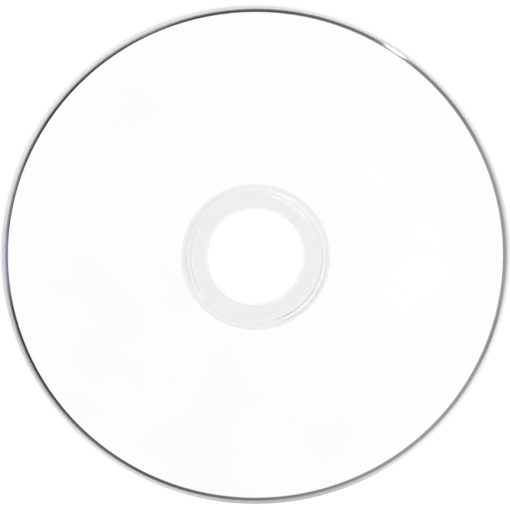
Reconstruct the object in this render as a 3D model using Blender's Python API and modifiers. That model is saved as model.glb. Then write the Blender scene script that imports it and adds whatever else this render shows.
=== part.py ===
"""An 8 cm recordable compact disc with a blank white printable face, lying with its read side down.

The disc is a moulded plastic plate with two layers on its label side: the reflective layer, and the
white coating over it. All three are turned shapes about the Z axis. The origin is on the surface
that the disc lies on, at the centre of the hole, because the disc rests on its stacking ring.
"""

import math

import bpy
from mathutils import Matrix, Vector

MM = 0.001

# Whole disc

DISC_DIAMETER = 80.0 * MM
HOLE_DIAMETER = 15.0 * MM
SUBSTRATE_THICKNESS = 1.15 * MM
RIM_EDGE_RADIUS = 0.2 * MM
HOLE_EDGE_RADIUS = 0.25 * MM

# Two ring grooves that the mould leaves in the label side: each slopes down outwards to a steep wall

HUB_LAND_WIDTH = 2.5 * MM
INNER_GROOVE_WIDTH = 0.36 * MM
GROOVE_RIDGE_WIDTH = 0.22 * MM
OUTER_GROOVE_WIDTH = 0.5 * MM
GROOVE_DEPTH = 0.25 * MM
GROOVE_WALL_ANGLE = math.radians(79)
GROOVE_WALL_EDGE_RADIUS = 0.02 * MM
GROOVE_SHOULDER_RADIUS = 0.25 * MM

# Stacking ring that stands out of the read side, just outside the clamping area

STACKING_RING_DIAMETER = 35.4 * MM
STACKING_RING_WIDTH = 1.4 * MM
STACKING_RING_HEIGHT = 0.2 * MM
STACKING_RING_WALL_ANGLE = math.radians(40)
STACKING_RING_EDGE_RADIUS = 0.08 * MM

# Reflective layer: dye, metal and lacquer as one skin

REFLECTIVE_THICKNESS = 0.02 * MM
REFLECTIVE_INNER_DIAMETER = 38.0 * MM
REFLECTIVE_RIM_MARGIN = 0.4 * MM

# White coating, over the reflective layer and the plain plastic inside it

COATING_THICKNESS = 0.03 * MM
COATING_GROOVE_MARGIN = 0.62 * MM
COATING_RIM_MARGIN = 1.1 * MM

# Facets

TURN_STEPS = 128
RIM_ARC_STEPS = 4
HOLE_ARC_STEPS = 2
SMALL_ARC_STEPS = 1

# Places that follow from the sizes: radii from the axis, heights from the surface below

DISC_RADIUS = DISC_DIAMETER / 2
HOLE_RADIUS = HOLE_DIAMETER / 2
READ_FACE_HEIGHT = STACKING_RING_HEIGHT
LABEL_FACE_HEIGHT = READ_FACE_HEIGHT + SUBSTRATE_THICKNESS

INNER_GROOVE_RADIUS = HOLE_RADIUS + HUB_LAND_WIDTH
INNER_WALL_RADIUS = INNER_GROOVE_RADIUS + INNER_GROOVE_WIDTH
OUTER_GROOVE_RADIUS = INNER_WALL_RADIUS + GROOVE_RIDGE_WIDTH
OUTER_WALL_RADIUS = OUTER_GROOVE_RADIUS + OUTER_GROOVE_WIDTH
GROOVE_WALL_RUN = GROOVE_DEPTH / math.tan(GROOVE_WALL_ANGLE)

RING_INNER_RADIUS = (STACKING_RING_DIAMETER - STACKING_RING_WIDTH) / 2
RING_OUTER_RADIUS = (STACKING_RING_DIAMETER + STACKING_RING_WIDTH) / 2
RING_WALL_RUN = STACKING_RING_HEIGHT / math.tan(STACKING_RING_WALL_ANGLE)

REFLECTIVE_INNER_RADIUS = REFLECTIVE_INNER_DIAMETER / 2
REFLECTIVE_OUTER_RADIUS = DISC_RADIUS - REFLECTIVE_RIM_MARGIN
COATING_INNER_RADIUS = OUTER_WALL_RADIUS + COATING_GROOVE_MARGIN
COATING_OUTER_RADIUS = DISC_RADIUS - COATING_RIM_MARGIN


def material(name, colour, roughness, metallic=0.0, transmission=0.0, ior=1.5):
    """A Principled material of one colour."""
    made = bpy.data.materials.new(name)
    made.use_nodes = True
    made.diffuse_color = (*colour, 1.0)
    shader = made.node_tree.nodes["Principled BSDF"]
    shader.inputs["Base Color"].default_value = (*colour, 1.0)
    shader.inputs["Roughness"].default_value = roughness
    shader.inputs["Metallic"].default_value = metallic
    shader.inputs["Transmission Weight"].default_value = transmission
    shader.inputs["IOR"].default_value = ior
    return made


def arc(before, at, after, edge_radius, steps):
    """A rounded corner: the arc that touches the lines from `at` to its two neighbours."""
    to_before = (Vector(before) - Vector(at)).normalized()
    to_after = (Vector(after) - Vector(at)).normalized()
    half_angle = to_before.angle(to_after) / 2
    to_centre = (to_before + to_after).normalized()
    centre = Vector(at) + to_centre * edge_radius / math.sin(half_angle)
    reach = edge_radius / math.tan(half_angle)
    first_spoke = Vector(at) + to_before * reach - centre
    last_spoke = Vector(at) + to_after * reach - centre
    turn = first_spoke.angle_signed(last_spoke)
    # angle_signed counts clockwise turns as positive, and Rotation the other way
    return [centre + Matrix.Rotation(-turn * i / steps, 2) @ first_spoke for i in range(steps + 1)]


def rounded_profile(corners):
    """The points of a closed profile, from (radius, height, edge radius, arc steps) corners."""
    points = []
    for i, (radius, height, edge_radius, steps) in enumerate(corners):
        before = corners[i - 1][:2]
        after = corners[(i + 1) % len(corners)][:2]
        points += arc(before, (radius, height), after, edge_radius, steps)
    return points


def turned(name, profile, height, look, owner, collection):
    """One closed solid: a closed profile turned about Z, with the object's origin at the height given.

    The profile starts at the top of the inner wall, and runs outwards, down the outer side and back.
    """
    mesh = bpy.data.meshes.new(name)
    edges = [(i, (i + 1) % len(profile)) for i in range(len(profile))]
    mesh.from_pydata([(radius, 0.0, z) for radius, z in profile], edges, [])
    mesh.materials.append(look)
    piece = bpy.data.objects.new(name, mesh)
    piece.location.z = height
    piece.parent = owner
    collection.objects.link(piece)

    screw = piece.modifiers.new("Turn", "SCREW")
    screw.axis = "Z"
    screw.angle = math.tau
    screw.steps = TURN_STEPS
    screw.render_steps = TURN_STEPS
    screw.use_merge_vertices = False
    screw.use_smooth_shade = True

    # Smooth round the edges, and still flat across the wide faces
    shading = piece.modifiers.new("Shading", "WEIGHTED_NORMAL")
    shading.mode = "FACE_AREA"
    shading.weight = 100
    return piece


def substrate_profile():
    """The moulded plate, with its two grooves on the label side and its ring on the read side."""
    groove_foot = LABEL_FACE_HEIGHT - GROOVE_DEPTH
    shoulder = (GROOVE_SHOULDER_RADIUS, SMALL_ARC_STEPS)
    wall_edge = (GROOVE_WALL_EDGE_RADIUS, SMALL_ARC_STEPS)
    ring_edge = (STACKING_RING_EDGE_RADIUS, SMALL_ARC_STEPS)
    rim_edge = (RIM_EDGE_RADIUS, RIM_ARC_STEPS)
    hole_edge = (HOLE_EDGE_RADIUS, HOLE_ARC_STEPS)
    return rounded_profile(
        [
            (HOLE_RADIUS, LABEL_FACE_HEIGHT, *hole_edge),
            (INNER_GROOVE_RADIUS, LABEL_FACE_HEIGHT, *shoulder),
            (INNER_WALL_RADIUS - GROOVE_WALL_RUN, groove_foot, *wall_edge),
            (INNER_WALL_RADIUS, LABEL_FACE_HEIGHT, *wall_edge),
            (OUTER_GROOVE_RADIUS, LABEL_FACE_HEIGHT, *shoulder),
            (OUTER_WALL_RADIUS - GROOVE_WALL_RUN, groove_foot, *wall_edge),
            (OUTER_WALL_RADIUS, LABEL_FACE_HEIGHT, *wall_edge),
            (DISC_RADIUS, LABEL_FACE_HEIGHT, *rim_edge),
            (DISC_RADIUS, READ_FACE_HEIGHT, *rim_edge),
            (RING_OUTER_RADIUS, READ_FACE_HEIGHT, *ring_edge),
            (RING_OUTER_RADIUS - RING_WALL_RUN, 0.0, *ring_edge),
            (RING_INNER_RADIUS + RING_WALL_RUN, 0.0, *ring_edge),
            (RING_INNER_RADIUS, READ_FACE_HEIGHT, *ring_edge),
            (HOLE_RADIUS, READ_FACE_HEIGHT, *hole_edge),
        ]
    )


def reflective_profile():
    """A flat ring of even thickness, with its underside at height 0."""
    return [
        (REFLECTIVE_INNER_RADIUS, REFLECTIVE_THICKNESS),
        (REFLECTIVE_OUTER_RADIUS, REFLECTIVE_THICKNESS),
        (REFLECTIVE_OUTER_RADIUS, 0.0),
        (REFLECTIVE_INNER_RADIUS, 0.0),
    ]


def coating_profile():
    """A flat ring with a level top, thicker inside, where its underside reaches down to the plastic."""
    top = REFLECTIVE_THICKNESS + COATING_THICKNESS
    return [
        (COATING_INNER_RADIUS, top),
        (COATING_OUTER_RADIUS, top),
        (COATING_OUTER_RADIUS, REFLECTIVE_THICKNESS),
        (REFLECTIVE_INNER_RADIUS, REFLECTIVE_THICKNESS),
        (REFLECTIVE_INNER_RADIUS, 0.0),
        (COATING_INNER_RADIUS, 0.0),
    ]


def main():
    for old in list(bpy.data.objects):
        bpy.data.objects.remove(old)

    collection = bpy.data.collections.new("compact_disc")
    bpy.context.scene.collection.children.link(collection)
    disc = bpy.data.objects.new("compact_disc_origin", None)
    collection.objects.link(disc)

    clear_plastic = material("clear_polycarbonate", (0.93, 0.94, 0.93), 0.03, transmission=1.0, ior=1.585)
    mirror = material("reflective_silver", (0.72, 0.73, 0.75), 0.08, metallic=1.0)
    white = material("white_ink_receptive", (0.93, 0.93, 0.92), 0.6)

    turned("disc_substrate", substrate_profile(), 0.0, clear_plastic, disc, collection)
    turned("reflective_layer", reflective_profile(), LABEL_FACE_HEIGHT, mirror, disc, collection)
    turned("printable_coating", coating_profile(), LABEL_FACE_HEIGHT, white, disc, collection)


main()
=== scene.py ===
"""Looks, light and camera for an 8 cm compact disc with a blank white printable face.

The disc lies on a white floor with its read side down, and the camera looks down on the label side,
a little off the disc's axis. The camera leans towards +Y and image up is +Y, so the near edge is at
the top of the picture. Everything is in metres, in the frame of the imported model. Azimuths are in
degrees, clockwise from +Y as the camera sees them. Angles on the disc turn the other way, from +X.
"""

import math

import bmesh
import bpy
from mathutils import Matrix, Vector


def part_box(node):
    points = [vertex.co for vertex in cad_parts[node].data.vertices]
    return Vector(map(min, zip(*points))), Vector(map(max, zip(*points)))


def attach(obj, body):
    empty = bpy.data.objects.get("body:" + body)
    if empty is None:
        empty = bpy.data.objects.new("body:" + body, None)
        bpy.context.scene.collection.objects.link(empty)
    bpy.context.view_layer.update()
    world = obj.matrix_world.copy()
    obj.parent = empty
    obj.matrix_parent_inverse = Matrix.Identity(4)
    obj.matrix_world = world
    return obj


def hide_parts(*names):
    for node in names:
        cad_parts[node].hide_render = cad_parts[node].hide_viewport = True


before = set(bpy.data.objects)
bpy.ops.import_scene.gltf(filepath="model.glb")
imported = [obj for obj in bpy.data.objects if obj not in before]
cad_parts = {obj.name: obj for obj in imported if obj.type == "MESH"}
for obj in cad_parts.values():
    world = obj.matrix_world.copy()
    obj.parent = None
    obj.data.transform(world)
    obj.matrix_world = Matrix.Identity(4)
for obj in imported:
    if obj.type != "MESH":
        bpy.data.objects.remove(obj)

MM = 0.001
UP = Vector((0.0, 0.0, 1.0))
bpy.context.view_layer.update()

# Sizes from the frame

DISC_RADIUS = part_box("disc_substrate")[1].x
MIRROR_LOW, MIRROR_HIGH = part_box("reflective_layer")
MIRROR_RADIUS = MIRROR_HIGH.x
COATING_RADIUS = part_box("printable_coating")[1].x
LABEL_FACE_HEIGHT = MIRROR_LOW.z

# Sizes of the moulded plate, as in the solids

HOLE_RADIUS = 7.5 * MM
READ_FACE_HEIGHT = 0.2 * MM
RIM_EDGE_RADIUS = 0.2 * MM
HOLE_EDGE_RADIUS = 0.25 * MM
INNER_GROOVE_RADIUS = 10.0 * MM
INNER_WALL_RADIUS = 10.36 * MM
OUTER_GROOVE_RADIUS = 10.58 * MM
OUTER_WALL_RADIUS = 11.08 * MM
GROOVE_DEPTH = 0.25 * MM
GROOVE_WALL_ANGLE = math.radians(79)
GROOVE_WALL_EDGE_RADIUS = 0.02 * MM
GROOVE_SHOULDER_RADIUS = 0.25 * MM
RING_INNER_RADIUS = 17.0 * MM
RING_OUTER_RADIUS = 18.4 * MM
RING_WALL_ANGLE = math.radians(40)
RING_EDGE_RADIUS = 0.08 * MM

# Steps of the rounded edges and of a whole turn

GROOVE_EDGE_STEPS = 6
RING_EDGE_STEPS = 3
RIM_EDGE_STEPS = 8
HOLE_EDGE_STEPS = 6
TURN_STEPS = 256

# The grooves lie off the axis, and fade out between two arcs of (middle, reach) azimuths. There
# GROOVE_LIFT of their depth is filled. Both change only what lies within these radii and above
# this height.

GROOVE_OFFSET = Vector((0.16, -0.12)) * MM
GROOVE_ARCS = ((90.0, 85.0), (283.0, 55.0))
GROOVE_ARC_FADE = 25.0
GROOVE_LIFT = 0.9
GROOVES_FROM = INNER_GROOVE_RADIUS - 0.5 * MM
GROOVES_TO = OUTER_WALL_RADIUS + 0.3 * MM
GROOVES_ABOVE = READ_FACE_HEIGHT + 0.5 * MM

# The walls of the hole and the rim, which are satin

HOLE_WALL_TO = HOLE_RADIUS + 0.08 * MM
RIM_WALL_FROM = DISC_RADIUS - 0.05 * MM

# The plastic closes round the layers, and the floor lies a little lower than the disc, so that no
# two surfaces share a plane

BOND_DEPTH = 0.002 * MM
COATING_BOND = 0.001 * MM
FLOOR_GAP = 0.01 * MM
FLOOR_REACH = 4.0

# The mirror's film, and its lacquer, which thins out in a bead from just under the coating

MIRROR_INNER_RADIUS = 19.0 * MM
FILM_OFFSET = Vector((0.028 * MM, -0.020 * MM, 0.0))
BEAD_OVERLAP = 0.1 * MM
BEAD_STEPS = 10
BEAD_DROP = 0.85
FADE_START = 39.255 * MM
FADE_END = 39.60 * MM
TRACKS_START = 22.4 * MM
TRACKS_END = 38.3 * MM
TRACKS_FADE = 0.1 * MM

# Where the plate's tints and its painted light and shade change: two radii for a rise, outer and
# inner radius for a fall

FULL_THICKNESS = (HOLE_RADIUS + 0.20 * MM, HOLE_RADIUS + 0.34 * MM)
PAINTED_LIGHT_BESIDE_PRINT = (OUTER_WALL_RADIUS + 0.02 * MM, OUTER_WALL_RADIUS + 0.3 * MM)
OUT_OF_HUB = (INNER_WALL_RADIUS - 0.2 * MM, OUTER_WALL_RADIUS + 0.3 * MM)
PAST_INNER_GROOVE = (10.1 * MM, 10.3 * MM)
PAINTED_HIGHLIGHT_RISE = (9.35 * MM, 9.95 * MM)
PAINTED_HIGHLIGHT_FALL = (10.7 * MM, 10.3 * MM)
PAINTED_SHADE_GROOVE_WALLS = (INNER_WALL_RADIUS + 0.1 * MM, OUTER_WALL_RADIUS - 0.2 * MM)
GROOVES_MIDDLE = (INNER_GROOVE_RADIUS + OUTER_WALL_RADIUS) / 2
GROOVES_REACH = 1.0 * MM
AT_RIM = (DISC_RADIUS - 0.6 * MM, DISC_RADIUS - 0.4 * MM)
AT_EDGE = (DISC_RADIUS - 0.36 * MM, DISC_RADIUS - 0.12 * MM)
FRINGE_RISE = (DISC_RADIUS - 0.68 * MM, DISC_RADIUS - 0.5 * MM)
FRINGE_FALL = (DISC_RADIUS - 0.18 * MM, DISC_RADIUS - 0.42 * MM)

# Colours

WHITE = (1.0, 1.0, 1.0)
THIN_TINT = (0.99, 0.99, 0.99, 1.0)
HUB_TINT = (0.915, 0.906, 0.899, 1.0)
# Painted light in the clear plastic: lighter beside the print and on the right, and a painted
# highlight
PAINTED_LIGHT_BESIDE_PRINT_TINT = (0.95, 0.948, 0.945, 1.0)
PAINTED_LIGHT_RIGHT_TINT = (0.985, 0.985, 0.982, 1.0)
PAINTED_HIGHLIGHT_TINT = (0.945, 0.935, 0.932, 1.0)
# Painted reflections: violet and warm fringes
PAINTED_VIOLET_TINT = (0.745, 0.72, 0.875, 1.0)
PAINTED_WARM_TINT = (0.86, 0.84, 0.815, 1.0)
SATIN_TINT = (0.995, 0.995, 0.99, 1.0)
SHADOW_TINT = (0.93, 0.935, 0.93, 1.0)
SILVER = (0.71, 0.71, 0.715, 1.0)
# Painted reflections on the bare metal: cooler and warmer silver
PAINTED_COOL_SILVER = (0.70, 0.705, 0.745, 1.0)
PAINTED_WARM_SILVER = (0.66, 0.635, 0.62, 1.0)
COATING_TONES = ((0.925, 0.925, 0.92, 1.0), (0.945, 0.945, 0.943, 1.0))
FLOOR_TONE = (0.85, 0.85, 0.85, 1.0)
SEEN_FLOOR_TONE = (0.3, 0.3, 0.3, 1.0)
SEEN_FLOOR_GLOW = 0.75

# Painted reflections, as faint coloured fringes just outside the mirror, violet on the left and
# warm at upper right:
# angle, the cosines of the turn from it between which the fringe rises, colour

PAINTED_FRINGES = ((180, 0.98, 0.999, PAINTED_VIOLET_TINT), (48, 0.92, 0.98, PAINTED_WARM_TINT))

PLASTIC_IOR = 1.585

# The world. The flat mirror shows the camera what lies in the direction MIRRORED. How far a
# direction of the world is from that one is the length of the step between the two.

OVERHEAD = (-0.02, -0.19, 0.98)
MIRRORED = (0.0, -0.194, 0.981)
TO_THE_RIGHT = (0.94, -0.34, 0.0)
RING_ENDS = (0.574, 0.819, 0.0)
DARKEST = 0.02

# Soft shapes of a room, which the mirror's curved edge shows: azimuth and reach to either side,
# how far from MIRRORED each starts and ends, and the light that it adds or takes

SHAPE_FADE = 0.014
ROOM_SHAPES = (
    (0.0, 30.0, 0.060, 0.092, -0.05),
    (358.0, 32.0, 0.098, 0.170, -0.14),
    (32.0, 30.0, 0.040, 0.076, 0.22),
    (84.0, 14.0, 0.040, 0.076, -0.14),
    (54.0, 10.0, 0.080, 0.126, -0.10),
    (110.0, 12.0, 0.078, 0.130, -0.24),
    (190.0, 45.0, 0.060, 0.092, -0.13),
    (221.0, 20.0, 0.082, 0.112, 0.20),
    (225.0, 60.0, 0.040, 0.075, 0.20),
    (243.0, 25.0, 0.063, 0.098, -0.17),
    (238.0, 31.0, 0.100, 0.170, -0.44),
    (310.0, 14.0, 0.045, 0.092, -0.14),
    (328.0, 26.0, 0.080, 0.112, 0.06),
    (336.0, 11.0, 0.062, 0.116, 0.24),
)

# Lamps that glint on the mirror's edge, this far outside the coating

GLINT_MARGIN = 0.3 * MM
GLINT_LAMP_DISTANCE = 1.2

# Camera: the tilt and distance that give the photograph's ellipses

CAMERA_TILT = math.radians(11.2)
CAMERA_DISTANCE = 0.78
CAMERA_LENS_MM = 350.0
CAMERA_SENSOR_MM = 36.0
CAMERA_NEAREST = 0.01
CAMERA_FARTHEST = 20.0
CAMERA_AIM = Vector((-0.080 * MM, 0.214 * MM, 0.7 * MM))
CAMERA_BACK = Vector((0.0, math.sin(CAMERA_TILT), math.cos(CAMERA_TILT)))
CAMERA_PLACE = CAMERA_AIM + CAMERA_BACK * CAMERA_DISTANCE


class Nodes:
    """Short calls for building one node tree. All but `add` give output sockets."""

    def __init__(self, tree):
        self.tree = tree
        tree.nodes.clear()

    def add(self, kind, inputs=None, **settings):
        """A node with its settings, and with its inputs set to values or linked from sockets."""
        node = self.tree.nodes.new(kind)
        for name, value in settings.items():
            setattr(node, name, value)
        for key, value in (inputs or {}).items():
            socket = node.inputs[key]
            if isinstance(value, bpy.types.NodeSocket):
                self.tree.links.new(value, socket)
            else:
                socket.default_value = value
        return node

    def math(self, operation, *values):
        return self.add("ShaderNodeMath", dict(enumerate(values)), operation=operation).outputs[0]

    def sum(self, base, *products):
        """The base plus each of the products, which are pairs of factors."""
        for a, b in products:
            base = self.math("MULTIPLY_ADD", a, b, base)
        return base

    def vector(self, operation, *values):
        """A vector operation. A dot product, distance or length comes out as a number."""
        node = self.add("ShaderNodeVectorMath", dict(enumerate(values)), operation=operation)
        is_number = operation in ("DOT_PRODUCT", "DISTANCE", "LENGTH")
        return node.outputs["Value" if is_number else "Vector"]

    def band(self, value, low, high, to_low=0.0, to_high=1.0, kind="SMOOTHSTEP"):
        """A smooth or LINEAR step of value from low to high."""
        span = {"From Min": low, "From Max": high, "To Min": to_low, "To Max": to_high}
        inputs = {"Value": value, **span}
        node = self.add("ShaderNodeMapRange", inputs, interpolation_type=kind)
        return node.outputs["Result"]

    def between(self, value, rise, fall):
        """1 between two smooth steps: a rise from 0 to 1, and a fall to 0 at its first value."""
        return self.math("MULTIPLY", self.band(value, *rise), self.band(value, *fall))

    def mix(self, factor, a, b):
        inputs = {"Factor": factor, 2: a, 3: b}
        return self.add("ShaderNodeMix", inputs, data_type="FLOAT").outputs[0]

    def mix_colour(self, factor, a, b):
        inputs = {"Factor": factor, 6: a, 7: b}
        return self.add("ShaderNodeMix", inputs, data_type="RGBA").outputs[2]

    def noise(self, vector, scale, detail, roughness=0.5):
        inputs = {"Vector": vector, "Scale": scale, "Detail": detail, "Roughness": roughness}
        return self.add("ShaderNodeTexNoise", inputs).outputs["Fac"]

    def bump(self, strength, distance, height):
        inputs = {"Strength": strength, "Distance": distance, "Height": height}
        return self.add("ShaderNodeBump", inputs).outputs["Normal"]

    def position(self):
        return self.add("ShaderNodeTexCoord").outputs["Object"]

    def polar(self, position, centre=(0.0, 0.0, 0.0)):
        """The radius from an upright axis through the centre, and the angle round the origin."""
        off = self.vector("SUBTRACT", position, centre)
        radius = self.vector("LENGTH", self.vector("MULTIPLY", off, (1.0, 1.0, 0.0)))
        split = self.add("ShaderNodeSeparateXYZ", {0: position})
        return radius, self.math("ARCTAN2", split.outputs["Y"], split.outputs["X"])

    def facing(self, angle, degrees):
        """The cosine of the turn from an angle to the one given in degrees: 1 where they meet."""
        return self.math("COSINE", self.math("SUBTRACT", angle, math.radians(degrees)))

    def ray_is(self, *kinds):
        """1 for a ray of any of these kinds."""
        path = self.add("ShaderNodeLightPath")
        seen, *others = (path.outputs[f"Is {kind} Ray"] for kind in kinds)
        for other in others:
            seen = self.math("MAXIMUM", seen, other)
        return seen

    def surface(self, shader):
        """Makes a shader node the material's surface."""
        self.add("ShaderNodeOutputMaterial", {"Surface": shader.outputs[0]})


def new_material(name):
    made = bpy.data.materials.new(name)
    made.use_nodes = True
    return made, Nodes(made.node_tree)


def placed(name, data):
    """A new object in the scene."""
    made = bpy.data.objects.new(name, data)
    bpy.context.scene.collection.objects.link(made)
    return made


def outward(azimuth):
    a = math.radians(azimuth)
    return Vector((math.sin(a), math.cos(a), 0.0))


def plastic(n, tint, roughness, transmission, normal):
    """The moulded plastic as a surface, which lamps shine through."""
    seen = n.add(
        "ShaderNodeBsdfPrincipled",
        {
            "Base Color": tint,
            "Roughness": roughness,
            "IOR": PLASTIC_IOR,
            "Transmission Weight": transmission,
            "Normal": normal,
        },
    )
    through = n.add("ShaderNodeBsdfTransparent", {"Color": SHADOW_TINT})
    inputs = {0: n.ray_is("Shadow"), 1: seen.outputs[0], 2: through.outputs[0]}
    n.surface(n.add("ShaderNodeMixShader", inputs))


def hub_tint(n, radius, angle):
    """What the plastic passes from the hole to the print. It passes more where it thins out, and
    painted light lightens it further out.
    """
    tint = n.mix_colour(n.band(radius, *FULL_THICKNESS), THIN_TINT, HUB_TINT)
    # Painted light: lighter beside the print, where the coating shades the floor below
    tint = n.mix_colour(n.band(radius, *PAINTED_LIGHT_BESIDE_PRINT), tint, PAINTED_LIGHT_BESIDE_PRINT_TINT)
    # Painted light: lighter round the grooves on the right
    right = n.band(n.facing(angle, 22), -0.3, 0.5)
    outside = n.band(radius, *OUT_OF_HUB, 0.1, 1.0)
    outside = n.math("MULTIPLY", outside, n.band(radius, *PAST_INNER_GROOVE))
    tint = n.mix_colour(n.math("MULTIPLY", right, outside), tint, PAINTED_LIGHT_RIGHT_TINT)
    # A painted highlight, soft and light, at upper right
    painted_highlight = n.band(n.facing(angle, 53), 0.94, 0.99)
    painted_highlight = n.math("MULTIPLY", painted_highlight, n.between(radius, PAINTED_HIGHLIGHT_RISE, PAINTED_HIGHLIGHT_FALL))
    return n.mix_colour(painted_highlight, tint, PAINTED_HIGHLIGHT_TINT)


def groove_painted_shade(n, radius, tint):
    """Painted shade: the steep walls of the grooves are tinted darker, the inner one most."""
    normal = n.add("ShaderNodeNewGeometry").outputs["True Normal"]
    up = n.add("ShaderNodeSeparateXYZ", {0: normal}).outputs["Z"]
    steep = n.band(n.math("ABSOLUTE", up), 0.5, 0.3)
    in_grooves = n.math("COMPARE", radius, GROOVES_MIDDLE, GROOVES_REACH)
    painted_wall_shade = n.band(radius, *PAINTED_SHADE_GROOVE_WALLS, 0.29, 0.73)
    return n.mix_colour(n.math("MULTIPLY", steep, in_grooves), tint, painted_wall_shade)


def rim_painted_light_and_shade(n, position, radius, angle, tint):
    """Painted light and shade on the rim: lighter on two sides and at its very edge, darkest
    towards -Y.
    """
    turn = n.math("COSINE", n.math("MULTIPLY_ADD", angle, 2.0, math.radians(70)))
    along = n.vector("DOT_PRODUCT", position, (0.14, -0.99, 0.0))
    low = n.band(along, 0.90 * DISC_RADIUS, 0.99 * DISC_RADIUS)
    # Painted light and shade: four lighter and four darker stretches of the rim
    painted_stretches = n.math("COSINE", n.math("MULTIPLY_ADD", angle, 4.0, math.radians(136)))
    dark = n.band(n.facing(angle, -152), 0.92, 1.0)
    shade = n.band(n.facing(angle, 65), 0.4, 0.9, 0.78, 0.87)
    shade = n.sum(shade, (turn, 0.06), (low, -0.12), (painted_stretches, 0.05), (dark, -0.07))
    tint = n.mix_colour(n.band(radius, *AT_RIM), tint, shade)
    shade = n.band(n.facing(angle, 45), -0.5, 0.3, 0.875, 0.99)
    shade = n.sum(shade, (turn, 0.02), (low, -0.14), (painted_stretches, 0.07))
    return n.mix_colour(n.band(radius, *AT_EDGE), tint, n.math("MINIMUM", shade, 0.995))


def painted_fringe_tint(n, radius, angle, tint):
    """Painted reflections: the faint coloured fringes just outside the mirror."""
    fringe = n.between(radius, FRINGE_RISE, FRINGE_FALL)
    for middle, low, high, colour in PAINTED_FRINGES:
        here = n.math("MULTIPLY", fringe, n.band(n.facing(angle, middle), low, high))
        tint = n.mix_colour(here, tint, colour)
    return tint


def clear_polycarbonate():
    """Clear moulded plastic: polished, with faint flow marks, and painted light and shade in its
    tint.
    """
    made, n = new_material("clear_polycarbonate")
    position = n.position()
    radius, angle = n.polar(position)
    tint = hub_tint(n, radius, angle)
    tint = groove_painted_shade(n, radius, tint)
    tint = rim_painted_light_and_shade(n, position, radius, angle, tint)
    tint = painted_fringe_tint(n, radius, angle, tint)
    flow = n.bump(0.1, 0.02 * MM, n.noise(position, 900.0, 3.0))
    plastic(n, tint, roughness=0.03, transmission=1.0, normal=flow)
    return made


def satin_polycarbonate():
    """The same plastic on the walls of the hole and rim, which come out of the mould satin."""
    made, n = new_material("satin_polycarbonate")
    grain = n.bump(0.3, 0.02 * MM, n.noise(n.position(), 4000.0, 2.0))
    plastic(n, SATIN_TINT, roughness=0.3, transmission=0.2, normal=grain)
    return made


def reflective_silver():
    """Silver film under clear lacquer. The metal thins out to nothing at its outer edge."""
    made, n = new_material("reflective_silver")
    radius, angle = n.polar(n.position(), FILM_OFFSET)
    film = n.band(radius, FADE_START, FADE_END, 1.0, 0.0, "LINEAR")
    # A painted rainbow sheen over the tracks, pale and changing with radius and angle
    spin = n.math("SINE", n.math("MULTIPLY_ADD", angle, 2.0, 0.9))
    hue = n.math("FRACT", n.math("MULTIPLY_ADD", radius, 60.0, n.math("MULTIPLY", spin, 0.8)))
    strength = n.band(n.math("ABSOLUTE", spin), 0.4, 1.0, 0.05, 0.22)
    hsv = {0: hue, 1: strength, 2: 0.72}
    rainbow = n.add("ShaderNodeCombineColor", hsv, mode="HSV").outputs[0]
    # Bare metal inside and outside them, with painted reflections: a little cooler on the right and
    # warmer at upper right
    bare = n.mix_colour(n.band(n.facing(angle, 5), 0.7, 0.98), SILVER, PAINTED_COOL_SILVER)
    bare = n.mix_colour(n.band(n.facing(angle, 48), 0.88, 0.98), bare, PAINTED_WARM_SILVER)
    rise = (TRACKS_START - TRACKS_FADE, TRACKS_START)
    fall = (TRACKS_END + TRACKS_FADE, TRACKS_END)
    colour = n.mix_colour(n.between(radius, rise, fall), bare, rainbow)
    # Fine rings that the turning mould and the spun lacquer leave
    along = {"X": n.math("MULTIPLY", radius, 20.0), "Y": n.math("MULTIPLY", spin, 0.02)}
    rings = n.noise(n.add("ShaderNodeCombineXYZ", along).outputs[0], 400.0, 3.0, 0.7)
    roughness = n.band(rings, 0.3, 0.7, 0.02, 0.045)
    inputs = {"Base Color": colour, "Metallic": 1.0, "Roughness": roughness, "Alpha": film}
    n.surface(n.add("ShaderNodeBsdfPrincipled", inputs))
    return made


def white_coating():
    """Ink-receptive white: matte, with a fine grain."""
    made, n = new_material("white_coating")
    position = n.position()
    cloud = n.band(n.noise(position, 60.0, 2.0), 0.3, 0.7)
    colour = n.mix_colour(cloud, *COATING_TONES)
    grain = n.bump(0.25, 0.01 * MM, n.noise(position, 9000.0, 3.0, 0.6))
    inputs = {"Base Color": colour, "Roughness": 0.7, "IOR": 1.45, "Normal": grain}
    n.surface(n.add("ShaderNodeBsdfPrincipled", inputs))
    return made


def arc(before, at, after, edge_radius, steps):
    """A rounded corner: the arc that touches the lines from `at` to its two neighbours."""
    to_before = (Vector(before) - Vector(at)).normalized()
    to_after = (Vector(after) - Vector(at)).normalized()
    half_angle = to_before.angle(to_after) / 2
    to_centre = (to_before + to_after).normalized()
    centre = Vector(at) + to_centre * edge_radius / math.sin(half_angle)
    reach = edge_radius / math.tan(half_angle)
    first_spoke = Vector(at) + to_before * reach - centre
    last_spoke = Vector(at) + to_after * reach - centre
    turn = first_spoke.angle_signed(last_spoke)
    # angle_signed counts clockwise turns as positive, and Rotation the other way
    return [centre + Matrix.Rotation(-turn * i / steps, 2) @ first_spoke for i in range(steps + 1)]


def rounded_profile(corners):
    """The points of a closed profile, from (radius, height, edge radius, arc steps) corners."""
    points = []
    for i, (radius, height, edge_radius, steps) in enumerate(corners):
        before = corners[i - 1][:2]
        after = corners[(i + 1) % len(corners)][:2]
        points += arc(before, (radius, height), after, edge_radius, steps)
    return points


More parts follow.
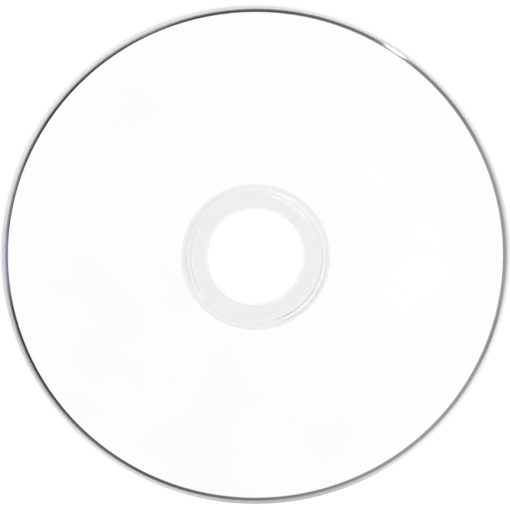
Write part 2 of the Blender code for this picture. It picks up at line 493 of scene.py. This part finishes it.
def turned_mesh(name, profile, moved):
    """A closed solid of revolution about Z, from a profile that runs outwards along its top.

    `moved` gives how far each point is moved from its place, from its radius, height and angle.
    """
    bm = bmesh.new()
    rings = []
    for i in range(TURN_STEPS):
        angle = math.tau * i / TURN_STEPS
        ring = []
        for radius, height in profile:
            place = Vector((radius * math.cos(angle), radius * math.sin(angle), height))
            ring.append(bm.verts.new(place + moved(radius, height, angle)))
        rings.append(ring)
    for i, ring in enumerate(rings):
        following = rings[(i + 1) % TURN_STEPS]
        for j in range(len(profile)):
            k = (j + 1) % len(profile)
            bm.faces.new((ring[j], ring[k], following[k], following[j]))
    mesh = bpy.data.meshes.new(name)
    bm.to_mesh(mesh)
    bm.free()
    mesh.shade_smooth()
    return mesh


def groove_share(azimuth):
    """How much of their depth the grooves have at an azimuth, from 0 to 1."""
    shares = []
    for middle, reach in GROOVE_ARCS:
        off = abs((azimuth - middle + 180.0) % 360.0 - 180.0)
        shares.append((reach - off) / GROOVE_ARC_FADE)
    return min(max(0.0, *shares), 1.0)


def flat_faces(piece):
    """Shades wide faces flat and the rounding between them smooth."""
    shading = piece.modifiers.new("Shading", "WEIGHTED_NORMAL")
    shading.mode = "FACE_AREA"
    shading.weight = 100


def plate_profile(top):
    """The plate's section, as in the solid, with finer rounding."""
    groove_foot = LABEL_FACE_HEIGHT - GROOVE_DEPTH
    wall_run = GROOVE_DEPTH / math.tan(GROOVE_WALL_ANGLE)
    ring_run = READ_FACE_HEIGHT / math.tan(RING_WALL_ANGLE)
    shoulder = (GROOVE_SHOULDER_RADIUS, GROOVE_EDGE_STEPS)
    wall_edge = (GROOVE_WALL_EDGE_RADIUS, GROOVE_EDGE_STEPS)
    ring_edge = (RING_EDGE_RADIUS, RING_EDGE_STEPS)
    rim_edge = (RIM_EDGE_RADIUS, RIM_EDGE_STEPS)
    hole_edge = (HOLE_EDGE_RADIUS, HOLE_EDGE_STEPS)
    return rounded_profile(
        [
            (HOLE_RADIUS, top, *hole_edge),
            (INNER_GROOVE_RADIUS, top, *shoulder),
            (INNER_WALL_RADIUS - wall_run, groove_foot, *wall_edge),
            (INNER_WALL_RADIUS, top, *wall_edge),
            (OUTER_GROOVE_RADIUS, top, *shoulder),
            (OUTER_WALL_RADIUS - wall_run, groove_foot, *wall_edge),
            (OUTER_WALL_RADIUS, top, *wall_edge),
            (DISC_RADIUS, top, *rim_edge),
            (DISC_RADIUS, READ_FACE_HEIGHT, *rim_edge),
            (RING_OUTER_RADIUS, READ_FACE_HEIGHT, *ring_edge),
            (RING_OUTER_RADIUS - ring_run, 0.0, *ring_edge),
            (RING_INNER_RADIUS + ring_run, 0.0, *ring_edge),
            (RING_INNER_RADIUS, READ_FACE_HEIGHT, *ring_edge),
            (HOLE_RADIUS, READ_FACE_HEIGHT, *hole_edge),
        ]
    )


def substrate(look, satin):
    """The moulded plate. Its grooves lie off the axis and fade out between their arcs."""
    top = LABEL_FACE_HEIGHT + BOND_DEPTH

    def moved(radius, height, angle):
        if not GROOVES_FROM < radius < GROOVES_TO or height < GROOVES_ABOVE:
            return Vector((0.0, 0.0, 0.0))
        missing = 1.0 - groove_share(90.0 - math.degrees(angle))
        return Vector((*GROOVE_OFFSET, (top - height) * GROOVE_LIFT * missing))

    mesh = turned_mesh("moulded_plate", plate_profile(top), moved)
    mesh.materials.append(look)
    mesh.materials.append(satin)
    for face in mesh.polygons:
        if not HOLE_WALL_TO <= face.center.xy.length <= RIM_WALL_FROM:
            face.material_index = 1
    piece = placed("moulded_plate", mesh)
    flat_faces(piece)
    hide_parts("disc_substrate")
    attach(piece, "root")


def mirror(look):
    """The reflective layer, whose lacquer thins out in a soft curve towards its outer edge."""
    bead_start = COATING_RADIUS - BEAD_OVERLAP
    bead_width = MIRROR_RADIUS - bead_start
    top = MIRROR_HIGH.z - COATING_BOND
    drop = (top - MIRROR_LOW.z) * BEAD_DROP
    profile = [(MIRROR_INNER_RADIUS, top)]
    for i in range(BEAD_STEPS + 1):
        t = i / BEAD_STEPS
        profile.append((bead_start + bead_width * t, top - drop * t ** 2))
    profile += [(MIRROR_RADIUS, MIRROR_LOW.z), (MIRROR_INNER_RADIUS, MIRROR_LOW.z)]
    mesh = turned_mesh("mirror_film", profile, lambda radius, height, angle: FILM_OFFSET)
    mesh.materials.append(look)
    piece = placed("mirror_film", mesh)
    flat_faces(piece)
    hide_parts("reflective_layer")
    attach(piece, "root")


def dress_coating(look):
    """The coating keeps its solid and gets its finish."""
    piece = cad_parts["printable_coating"]
    piece.data.materials.clear()
    piece.data.materials.append(look)
    flat_faces(piece)


def white_floor():
    """A floor that is white where it is seen, and keeps a faint shadow."""
    made, n = new_material("white_floor")
    seen = n.ray_is("Camera", "Glossy", "Transmission")
    tone = n.mix_colour(seen, FLOOR_TONE, SEEN_FLOOR_TONE)
    lit = n.add("ShaderNodeBsdfDiffuse", {"Color": tone})
    strength = n.math("MULTIPLY", seen, SEEN_FLOOR_GLOW)
    glow = n.add("ShaderNodeEmission", {"Strength": strength})
    n.surface(n.add("ShaderNodeAddShader", {0: lit.outputs[0], 1: glow.outputs[0]}))

    bm = bmesh.new()
    bmesh.ops.create_grid(bm, x_segments=1, y_segments=1, size=FLOOR_REACH)
    mesh = bpy.data.meshes.new("floor")
    bm.to_mesh(mesh)
    bm.free()
    mesh.materials.append(made)
    floor = placed("floor", mesh)
    floor.location.z = -FLOOR_GAP


def light_overhead(n, direction, slant):
    """The world's light near MIRRORED: dark on the left, lighter on the right, with soft shapes."""
    off = n.vector("SUBTRACT", direction, MIRRORED)
    away = n.vector("DISTANCE", direction, MIRRORED)
    light = n.band(slant, 0.0, 0.17, 0.04, 0.48)
    light = n.math("ADD", light, n.band(slant, 0.03, -0.03, 0.0, 0.04))
    # Lighter farther out on the left
    left = n.band(slant, 0.07, 0.0)
    light = n.sum(light, (left, n.band(away, 0.076, 0.123, 0.0, 0.45)))
    # A lighter ring with two light ends, which the mirror shows just outside the print
    ends = n.math("ABSOLUTE", n.vector("DOT_PRODUCT", off, RING_ENDS))
    ends = n.band(ends, 0.0, 0.075, 0.05, 0.25)
    light = n.sum(light, (ends, n.between(away, (0.045, 0.060), (0.080, 0.062))))
    for azimuth, reach, start, end, change in ROOM_SHAPES:
        turn = n.math("DIVIDE", n.vector("DOT_PRODUCT", off, outward(azimuth)), away)
        shape = n.band(turn, math.cos(math.radians(reach)), 1.0, 0.0, change)
        here = n.between(away, (start, start + SHAPE_FADE), (end, end - SHAPE_FADE))
        light = n.sum(light, (shape, here))
    return n.math("MAXIMUM", light, DARKEST)


def studio_world():
    """A soft dome: white round it, brighter towards +Y, darker far left, far right and overhead."""
    world = bpy.data.worlds.new("studio")
    world.use_nodes = True
    bpy.context.scene.world = world
    n = Nodes(world.node_tree)
    direction = n.add("ShaderNodeTexCoord").outputs["Generated"]
    slant = n.vector("DOT_PRODUCT", direction, TO_THE_RIGHT)
    around = n.band(n.math("ABSOLUTE", slant), 0.7, 0.95, 1.0, 0.24)
    ahead = n.add("ShaderNodeSeparateXYZ", {0: direction}).outputs["Y"]
    around = n.math("MULTIPLY", around, n.band(ahead, 0.3, 0.9, 1.0, 1.35))
    overhead = n.band(n.vector("DISTANCE", direction, OVERHEAD), 0.36, 0.10)
    level = n.mix(overhead, around, light_overhead(n, direction, slant))
    # Plain white where the camera sees the world itself, also through the plastic
    strength = n.mix(n.ray_is("Camera", "Transmission"), level, 1.0)
    background = n.add("ShaderNodeBackground", {"Color": (*WHITE, 1.0), "Strength": strength})
    n.add("ShaderNodeOutputWorld", {"Surface": background.outputs[0]})


def area_lamp(name, shape, width, height, radiance, colour):
    """An area lamp, whose power follows from its radiance and the area of its shape."""
    lamp = bpy.data.lights.new(name, "AREA")
    lamp.shape = shape
    lamp.size = width
    lamp.size_y = height
    area = width * height * (math.pi / 4 if shape == "ELLIPSE" else 1.0)
    lamp.energy = radiance * area * math.pi
    lamp.color = colour
    return placed(name, lamp)


def softbox(name, azimuth, zenith, distance, width, height, radiance):
    """A lamp that faces the disc."""
    z = math.radians(zenith)
    towards = outward(azimuth) * math.sin(z) + UP * math.cos(z)
    made = area_lamp(name, "RECTANGLE", width, height, radiance, WHITE)
    made.location = towards * distance
    made.rotation_euler = towards.to_track_quat("Z", "Y").to_euler()


def rim_glint(name, azimuth, spread, low, high, radiance, colour=WHITE):
    """A small lamp that the mirror's curved edge shows to the camera.

    It shows within the spread to either side of the azimuth, in degrees, and from where the edge's
    slope is low to where it is high, in radians.
    """

    def mirrored(slope, turn=0.0):
        """Where the camera's ray goes from the mirror's edge, where that slopes by this much."""
        out = outward(azimuth + turn)
        place = out * (COATING_RADIUS + GLINT_MARGIN) + UP * LABEL_FACE_HEIGHT
        ray = (place - CAMERA_PLACE).normalized()
        return ray.reflect(out * math.sin(slope) + UP * math.cos(slope))

    middle = (low + high) / 2
    towards = mirrored(middle)
    reach = mirrored(high) - mirrored(low)
    width = reach.length * GLINT_LAMP_DISTANCE
    height = (mirrored(middle, spread) - mirrored(middle, -spread)).length * GLINT_LAMP_DISTANCE
    made = area_lamp(name, "ELLIPSE", width, height, radiance, colour)
    along = (reach - towards * reach.dot(towards)).normalized()
    turned = Matrix((along, towards.cross(along), towards)).transposed()
    made.matrix_world = Matrix.Translation(towards * GLINT_LAMP_DISTANCE) @ turned.to_4x4()


def camera():
    made = placed("camera", bpy.data.cameras.new("camera"))
    made.data.lens = CAMERA_LENS_MM
    made.data.sensor_width = CAMERA_SENSOR_MM
    made.data.clip_start = CAMERA_NEAREST
    made.data.clip_end = CAMERA_FARTHEST
    up = Vector((0.0, math.cos(CAMERA_TILT), -math.sin(CAMERA_TILT)))
    turned = Matrix((up.cross(CAMERA_BACK), up, CAMERA_BACK)).transposed()
    made.matrix_world = Matrix.Translation(CAMERA_PLACE) @ turned.to_4x4()
    bpy.context.scene.camera = made


camera()
substrate(clear_polycarbonate(), satin_polycarbonate())
mirror(reflective_silver())
dress_coating(white_coating())
white_floor()
studio_world()
softbox("key", azimuth=45, zenith=35, distance=1.0, width=0.60, height=0.36, radiance=1.9)
rim_glint("glint", azimuth=33.7, spread=2.6, low=0.030, high=0.080, radiance=2.6)
rim_glint(
    "violet_glint", azimuth=269.5, spread=5.5, low=0.010, high=0.070, radiance=0.20,
    colour=(0.44, 0.34, 1.0),
)
rim_glint(
    "pale_glint", azimuth=276, spread=15, low=0.010, high=0.070, radiance=0.11,
    colour=(0.88, 0.87, 1.0),
)
bpy.context.scene.view_settings.view_transform = "Standard"
